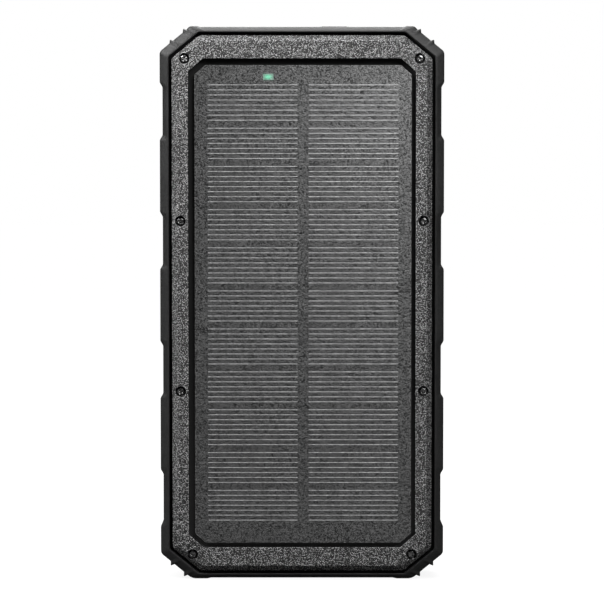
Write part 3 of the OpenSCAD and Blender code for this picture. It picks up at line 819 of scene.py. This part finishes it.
def build_flap():
    """The rubber port flap: a rounded plate with a shallow framed panel, a ribbed tab and three plugs."""
    plate_low, plate_high = housing_high[2] + FIT, sleeve_top
    centre = ((cover_low + cover_high) / 2)[:2]
    size = (cover_high - cover_low)[:2]
    plate_corner, island_corner = 1.2, 0.8
    groove_in, island_in, groove_depth = 3.4, 4.6, 0.16

    def plate_outline(inset):
        return rounded_rectangle(centre, size - 2 * inset, plate_corner - inset)

    def groove_outline(inset):
        return rounded_rectangle(centre, size - groove_in + 2 * inset, plate_corner + inset)

    def island_outline(inset):
        return rounded_rectangle(centre, size - island_in - 2 * inset, island_corner - inset)

    flap = pillow("port_flap", plate_outline, edge_levels(plate_low, plate_high, 0.12, 0.32))
    groove = pillow("groove", groove_outline, [(plate_high - groove_depth, 0.0), (plate_high + 0.5, 0.12)])
    island_levels = [(plate_high - 0.5, 0.0), (plate_high - 0.1, 0.0), (plate_high, 0.1)]
    island = pillow("island", island_outline, island_levels)
    combine(flap, groove, "DIFFERENCE")
    combine(flap, island, "UNION")
    wide, narrow = socket_centres()
    tab_x = wide[1][0][0]
    tab_middle, tab_size, tab_corner = (tab_x, cover_low[1] + 1.5), np.array((9.2, 3.0)), 0.9
    rib_half, rib_count, rib_pitch = (3.6, 0.17), 3, 0.8
    plug_start = plate_low + 0.3

    def tab_outline(inset):
        return rounded_rectangle(tab_middle, tab_size - 2 * inset, tab_corner - inset)

    tab_top = cover_high[2] - 0.12
    combine(flap, pillow("tab", tab_outline, edge_levels(plug_start, tab_top, 0, 0.25)), "UNION")
    for k in range(rib_count):
        y = tab_middle[1] + (k - 1) * rib_pitch
        foot = (tab_x - rib_half[0], y - rib_half[1], tab_top - 0.3)
        crest = (tab_x + rib_half[0], y + rib_half[1], cover_high[2])
        combine(flap, block("rib", foot, crest, 0.12), "UNION")
    for (x, y, _), (w, d, _) in wide:
        room = np.array((w - 0.6, d - 0.8))
        plug = pillow("plug", lambda inset: rounded_rectangle((x, y), room - 2 * inset, 0.5 - inset),
                      edge_levels(cover_low[2], plug_start, 0.35, 0))
        combine(flap, plug, "UNION")
    (x, y, _), (w, d, _) = narrow
    room = np.array((w - 0.6, d - 0.7))
    plug = pillow("plug", lambda inset: stadium((x, y), room - 2 * inset),
                  edge_levels(cover_low[2], plug_start, 0.3, 0))
    combine(flap, plug, "UNION")
    return flap


def build_hinge_web():
    """The thin rubber strip that joins the flap to the sleeve, thinnest along its middle."""
    overlap, end_gap = 0.12, 2
    thickness, top_dip, under_dip = 0.62, 0.12, 0.20
    near, far = cover_high[1] - overlap, cover_high[1] + HINGE_GAP + overlap
    half = (cover_high[0] - cover_low[0]) / 2 - end_gap
    middle_x = (cover_high[0] + cover_low[0]) / 2
    top = sleeve_top - 0.12
    steps, columns = 10, 24
    section = []
    for k in range(steps + 1):
        t = k / steps
        dip = math.sin(math.pi * t)
        section.append((near + (far - near) * t, top - top_dip * dip))
    for k in range(steps, -1, -1):
        t = k / steps
        dip = math.sin(math.pi * t)
        section.append((near + (far - near) * t, top - thickness + under_dip * dip))
    rings = []
    for c in range(columns + 1):
        x = middle_x + half * (2 * c / columns - 1)
        rings.append([(x, y, z) for y, z in section])
    return loft("hinge_web", rings)


# ---------------------------------------------------------------- power button


def build_button():
    """The power button: a dished cap with a raised bar, on a stem with a retaining flange."""
    low, high = box_mm("power_button")
    centre = ((low + high) / 2)[1:]
    cap, stem, flange = np.array((4.6, 8.0)), np.array((2.4, 5.0)), np.array((4.5, 7.5))
    cap_in = housing_high[0] + 0.45
    flange_out = housing_high[0] - 1.85
    flange_in = flange_out - 1
    cap_out = high[0]
    bar_size = (0.7, 3.0)
    profile = [(low[0], stem, 0.15), (low[0] + 0.15, stem, 0.0), (flange_in, stem, 0.0)]
    profile += [(flange_in, flange, 0.0), (flange_out - 0.1, flange, 0.0), (flange_out, flange, 0.1)]
    profile += [(flange_out, stem, 0.0), (cap_in, stem, 0.0), (cap_in, cap, 0.12), (cap_in + 0.12, cap, 0.0)]
    profile += [(x, cap, inset) for x, inset in edge_levels(cap_in + 0.2, cap_out, 0, 0.3)]
    profile += [(cap_out - 0.04, cap, 0.55), (cap_out - 0.12, cap, 1.0), (cap_out - 0.15, cap, 1.6)]
    rings = [[along_x(p, x) for p in stadium(centre, size - 2 * inset)] for x, size, inset in profile]
    button = loft("power_button_cap", rings)
    y, z = centre
    bar = pillow("bar", lambda inset: stadium((y, z), (bar_size[0] - 2 * inset, bar_size[1] - 2 * inset)),
                 edge_levels(cap_out - 0.5, cap_out, 0, 0.15), along_x)
    combine(button, bar, "UNION")
    return button


# ---------------------------------------------------------------- screws and contacts


def lathe(name, profile, sides=48):
    """A solid of revolution about Y from (radius, depth) points; a zero radius closes an end."""
    verts, rings = [], []
    for radius, depth in profile:
        if radius == 0:
            rings.append([len(verts)])
            verts.append((0.0, depth, 0.0))
            continue
        rings.append(list(range(len(verts), len(verts) + sides)))
        for i in range(sides):
            angle = 2 * math.pi * i / sides
            verts.append((radius * math.cos(angle), depth, radius * math.sin(angle)))
    faces = []
    for a, b in zip(rings, rings[1:]):
        for i in range(sides):
            j = (i + 1) % sides
            ring = [a[i % len(a)], a[j % len(a)], b[j % len(b)], b[i % len(b)]]
            faces.append(list(dict.fromkeys(ring)))
    return new_mesh(name, verts, faces, 30)


def build_screw(name, head_r, head_t, shank_r, length):
    """A domed cross-head screw along Y, its head's top at depth 0."""
    dome = [(0.0, 0.0), (head_r * 0.5, 0.02), (head_r * 0.7, 0.08), (head_r * 0.84, 0.24), (head_r, 0.55)]
    under = [(head_r, head_t - 0.06), (head_r - 0.06, head_t), (shank_r, head_t)]
    tip = [(shank_r, length - 0.6), (shank_r * 0.55, length), (0.0, length)]
    screw = lathe(name, dome + under + tip)
    arm = head_r * 0.66
    levels = [(-0.3, 1.12), (0.0, 1.0), (0.42, 0.8), (0.5, 0.55)]
    rings = [[along_y(p * scale, depth) for p in cross(arm, head_r * 0.15, 0.05)] for depth, scale in levels]
    combine(screw, loft("recess", rings), "DIFFERENCE", 30)
    return screw


def build_screws(name, node, shank_r):
    """Every screw of a node, each turned to a different angle, as one object."""
    boxes = solid_boxes(node)
    low, high = boxes[0]
    head_r, head_t, length = (high[0] - low[0]) / 2, 0.8, high[1] - low[1]
    first_turn, turn_step = 0.5, 2.4  # in radians
    master = build_screw("screw", head_r, head_t, shank_r, length)
    pieces = []
    for i, (low, high) in enumerate(boxes):
        mesh = master.data.copy()
        place = Vector(((low[0] + high[0]) / 2, low[1], (low[2] + high[2]) / 2)) * MM
        mesh.transform(Matrix.Translation(place) @ Matrix.Rotation(first_turn + i * turn_step, 4, "Y"))
        pieces.append(bpy.data.objects.new("screw", mesh))
    bpy.data.objects.remove(master)
    return gather(name, pieces, 30)


def build_contacts():
    """The gold contacts on the sockets' tongues: four on each wide one, twelve a side on the narrow one."""
    pieces = []
    wide_half, wide_offsets = 0.5, (-3.5, -1.0, 1.0, 3.5)
    narrow_half, narrow_pitch, narrow_count = 0.12, 0.5, 12
    for low, high in solid_boxes("usb_a_tongues"):
        middle = (low[0] + high[0]) / 2
        tongue_front = high[1] - 2.1
        for offset in wide_offsets:
            corner = (middle + offset - wide_half, tongue_front - 0.1, high[2] - 8.0)
            opposite = (middle + offset + wide_half, tongue_front + 0.05, high[2] - 0.8)
            pieces.append(block("contact", corner, opposite, 0.05))
    low, high = box_mm("usb_c_tongue")
    middle_x, middle_y = (low[0] + high[0]) / 2, (low[1] + high[1]) / 2
    for side in (-1, 1):
        near, far = sorted((middle_y + side * 0.33, middle_y + side * 0.39))
        for k in range(narrow_count):
            x = middle_x + (k - (narrow_count - 1) / 2) * narrow_pitch
            corner, opposite = (x - narrow_half, near, high[2] - 3.2), (x + narrow_half, far, high[2] - 0.5)
            pieces.append(block("contact", corner, opposite, 0.02))
    return gather("socket_contacts", pieces)


# ---------------------------------------------------------------- putting the looks on

rubber = soft_rubber("sleeve_rubber", 0.014)
sleeve = build_sleeve()
cut_sleeve(sleeve)
dress(sleeve, rubber, "case", instead_of="bumper")
# The sleeve's second material is near black and dull: painted shade on the inner wall in the gap round the
# frame.
sleeve.data.materials.append(tinted("sleeve_inner_wall", (0.004, 0.004, 0.004), 0.8, specular_ior_level=0.05))

cover_rubber = soft_rubber("cover_rubber", 0.018)
dress(build_flap(), cover_rubber, "cover", instead_of="port_cover")
web = build_hinge_web()
dress(web, cover_rubber, None)
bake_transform(web)

button_rubber = soft_rubber("button_rubber", 0.030)
dress(build_button(), button_rubber, "button", instead_of="power_button")
black_screw = metal("black_screw", 0.30, 0.26)
case_screws = build_screws("case_screw_set", "case_screws", 0.8)
dress(case_screws, black_screw, "case", instead_of="case_screws")
dress(build_contacts(), gold_plate(), "case")

red_wire = tinted("wire_red", (0.55, 0.02, 0.02), 0.35)
black_wire = tinted("wire_black", (0.015, 0.015, 0.015), 0.35)
board = circuit_board()
plated = metal("socket_steel", 0.55, 0.38)
FINISHES = {
    "front_frame": frame_plastic(),
    "rear_housing": housing_plastic(),
    "frame_gasket": tinted("seal_rubber", (0.35, 0.08, 0.06), 0.6),
    "panel_board": silicon("panel_laminate", 0.020, 0.06),
    "panel_adhesive": tinted("bonding_sheet", (0.02, 0.02, 0.02), 0.6),
    "solar_cells": silicon("cell_silicon", 0.022, 0.10),
    "cell_fingers": silver_print(),
    "panel_film": matt_film(),
    "charge_led": charge_light(),
    "main_board": board,
    "protection_boards": board,
    "board_screws": metal("plain_screw", 0.6, 0.25),
    "usb_a_shells": plated,
    "usb_c_shell": plated,
    "usb_a_tongues": tinted("socket_white", (0.75, 0.75, 0.72), 0.35, 0.05),
    "usb_c_tongue": tinted("socket_black", (0.03, 0.03, 0.03), 0.35),
    "control_chips": tinted("chip_black", (0.025, 0.025, 0.025), 0.5, grain_per_mm=6.0),
    "power_inductors": tinted("ferrite", (0.09, 0.09, 0.09), 0.6, grain_per_mm=4.0),
    "capacitors": tinted("capacitor_tan", (0.45, 0.32, 0.20), 0.4, 0.1),
    "level_leds": tinted("light_white", (0.85, 0.85, 0.80), 0.3, 0.04),
    "level_lens": frosted_window(),
    "switch_body": tinted("switch_black", (0.03, 0.03, 0.03), 0.45),
    "switch_plunger": tinted("switch_white", (0.8, 0.8, 0.8), 0.4, 0.05),
    "battery_cell_front": pouch_foil(),
    "battery_cell_rear": pouch_foil(),
    "front_foam": foam(),
    "cell_tape": tinted("tape_white", (0.8, 0.79, 0.74), 0.5, 0.06),
    "rear_tape": tinted("tape_back", (0.8, 0.79, 0.74), 0.5, 0.06),
    "battery_leads_red": red_wire,
    "panel_leads_red": red_wire,
    "battery_leads_black": black_wire,
    "panel_leads_black": black_wire,
    "bumper": rubber,
    "port_cover": cover_rubber,
    "power_button": button_rubber,
    "case_screws": black_screw,
}
for node, finish in FINISHES.items():
    mesh = NODES[node].data
    mesh.materials.clear()
    mesh.materials.append(finish)

# ---------------------------------------------------------------- studio


def area_light(name, place, target, size, power, only=(), apart_from=()):
    """A soft rectangular light aimed at a point; places and sizes in metres, power in watts.

    It can shine on some CAD nodes only, or on everything apart from some.
    """
    data = bpy.data.lights.new(name, "AREA")
    data.shape = "RECTANGLE"
    data.size, data.size_y = size
    data.energy = power
    lamp = bpy.data.objects.new(name, data)
    lamp.location = place
    lamp.rotation_euler = (Vector(target) - Vector(place)).to_track_quat("-Z", "Y").to_euler()
    bpy.context.scene.collection.objects.link(lamp)
    if only or apart_from:
        listed = bpy.data.collections.new(name + "_receivers")
        for node in only or apart_from:
            listed.objects.link(NODES[node])
        for entry in listed.collection_objects:
            entry.light_linking.link_state = "INCLUDE" if only else "EXCLUDE"
        lamp.light_linking.receiver_collection = listed


def studio_world(ambient):
    """White behind the object, and a dimmer even light on it."""
    world = bpy.data.worlds.new("studio")
    bpy.context.scene.world = world
    world.use_nodes = True
    nodes, links = world.node_tree.nodes, world.node_tree.links
    nodes.clear()
    path = nodes.new("ShaderNodeLightPath")
    strength = nodes.new("ShaderNodeMapRange")
    links.new(path.outputs["Is Camera Ray"], strength.inputs["Value"])
    strength.inputs["To Min"].default_value = ambient
    strength.inputs["To Max"].default_value = 1.0
    background = nodes.new("ShaderNodeBackground")
    links.new(strength.outputs[0], background.inputs["Strength"])
    background.inputs["Color"].default_value = (1, 1, 1, 1)
    output = nodes.new("ShaderNodeOutputWorld")
    links.new(background.outputs[0], output.inputs["Surface"])


def pale_floor():
    """A wide pale disc that fades into the white surroundings away from the object."""
    radius, sides, drop = 6.0, 96, 0.0001
    fade_start, fade_end = 60.0, 420.0
    angles = [2 * math.pi * i / sides for i in range(sides)]
    mesh = bpy.data.meshes.new("floor")
    rim = [(radius * math.cos(a), radius * math.sin(a), 0.0) for a in angles]
    mesh.from_pydata(rim, [], [list(range(sides))])
    floor = bpy.data.objects.new("floor", mesh)
    floor.location.z = cad_low.z - drop
    bpy.context.scene.collection.objects.link(floor)
    s = Shader("pale_floor")
    length = s.add("ShaderNodeVectorMath", operation="LENGTH")
    s.join(s.vector("MULTIPLY", s.mm, (1, 1, 0)), length.inputs[0])
    glow = s.remap(length.outputs["Value"], fade_start, fade_end, 0.9, 1.0)
    seen = s.math("MULTIPLY", s.add("ShaderNodeLightPath").outputs["Is Camera Ray"], glow)
    speckle = s.noise(0.4)
    colour = s.colours(speckle, grey(0.08), grey(0.11))
    surface = s.surface(colour, 0.8, s.bump(speckle, 0.02), specular_ior_level=0.1,
                        emission_color=grey(1.0), emission_strength=seen)
    mesh.materials.append(s.finish(surface))


def photo_camera():
    """A long lens straight in front of the panel, a little above the middle and looking slightly down."""
    distance, tilt, rise = 0.70, math.radians(2.8), 0.0006
    image_share = 0.9189  # the object's height as a share of the picture's
    data = bpy.data.cameras.new("camera")
    data.sensor_width = 36
    height = cad_high.z - cad_low.z
    target = Vector((0, cad_low.y + 0.001, (cad_low.z + cad_high.z) / 2 + rise))
    data.lens = image_share * data.sensor_width * distance / height
    camera = bpy.data.objects.new("camera", data)
    camera.location = target + Vector((0, -math.cos(tilt), math.sin(tilt))) * distance
    camera.rotation_euler = (target - camera.location).to_track_quat("-Z", "Y").to_euler()
    bpy.context.scene.collection.objects.link(camera)
    bpy.context.scene.camera = camera


studio_world(0.012)
pale_floor()
middle, upper = (0, 0, 0.08), (0, 0, 0.15)
PANEL = ("panel_film", "cell_fingers", "solar_cells", "panel_board")  # lit by a light of its own
area_light("high_left", (-0.35, -0.12, 0.40), middle, (0.15, 0.15), 1.5, apart_from=PANEL)
area_light("key_left", (-0.25, -0.22, 0.35), middle, (0.15, 0.15), 1.5, apart_from=PANEL)
area_light("key_right", (0.12, -0.25, 0.38), middle, (0.20, 0.16), 0.9, apart_from=PANEL)
area_light("low_right", (0.22, -0.32, 0.34), middle, (0.15, 0.15), 1.0, apart_from=PANEL)
area_light("panel_glow", (0.19, -0.42, 0.28), middle, (0.12, 0.16), 2.4, only=PANEL)
area_light("above", (0.0, 0.12, 0.50), upper, (0.40, 0.20), 1.7)
area_light("rear", (0.0, 0.35, 0.45), upper, (0.40, 0.30), 3.2)
photo_camera()
bpy.context.scene.view_settings.view_transform = "Standard"
